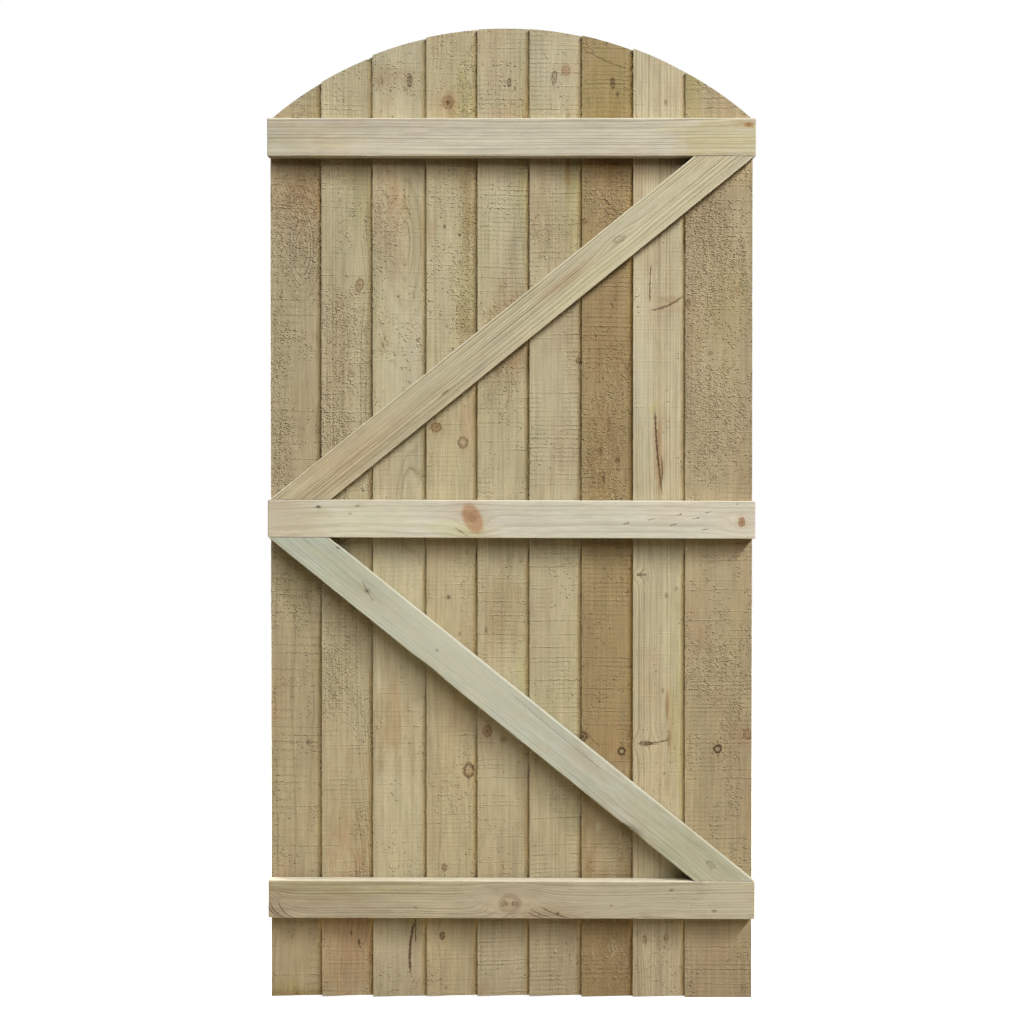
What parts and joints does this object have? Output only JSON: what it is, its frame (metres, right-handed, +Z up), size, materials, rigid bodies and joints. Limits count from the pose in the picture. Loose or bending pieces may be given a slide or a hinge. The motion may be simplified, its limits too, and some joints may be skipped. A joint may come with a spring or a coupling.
{
  "type": "arched wooden gate",
  "caption": "Closeboard garden gate leaf with an arched top: lapped feather-edge boards nailed across horizontal ledges, stiffened by diagonal braces.",
  "frame": {"origin": "middle of the lower hinge's seat: on the outer face of the bottom ledge, at mid height, 35 mm in from its hinge-side end", "axes": "+X along the ledges from the hinge side to the latch side, +Y from the ledges' outer faces towards the boards, +Z up"},
  "size_m": [0.9002, 0.0579, 1.8042],
  "materials": {
    "sawn_board": "rough-sawn, pressure-treated softwood",
    "planed_ledge": "planed, pressure-treated softwood",
    "planed_brace": "planed, pressure-treated softwood",
    "galvanised_nail": "dull galvanised"
  },
  "bodies": {
    "root": {"board_1": "sawn_board", "board_2": "sawn_board", "board_3": "sawn_board", "board_4": "sawn_board", "board_5": "sawn_board", "board_6": "sawn_board", "board_7": "sawn_board", "board_8": "sawn_board", "board_9": "sawn_board", "top_ledge": "planed_ledge", "middle_ledge": "planed_ledge", "bottom_ledge": "planed_ledge", "upper_brace": "planed_brace", "lower_brace": "planed_brace"}
  },
  "joints": []
}
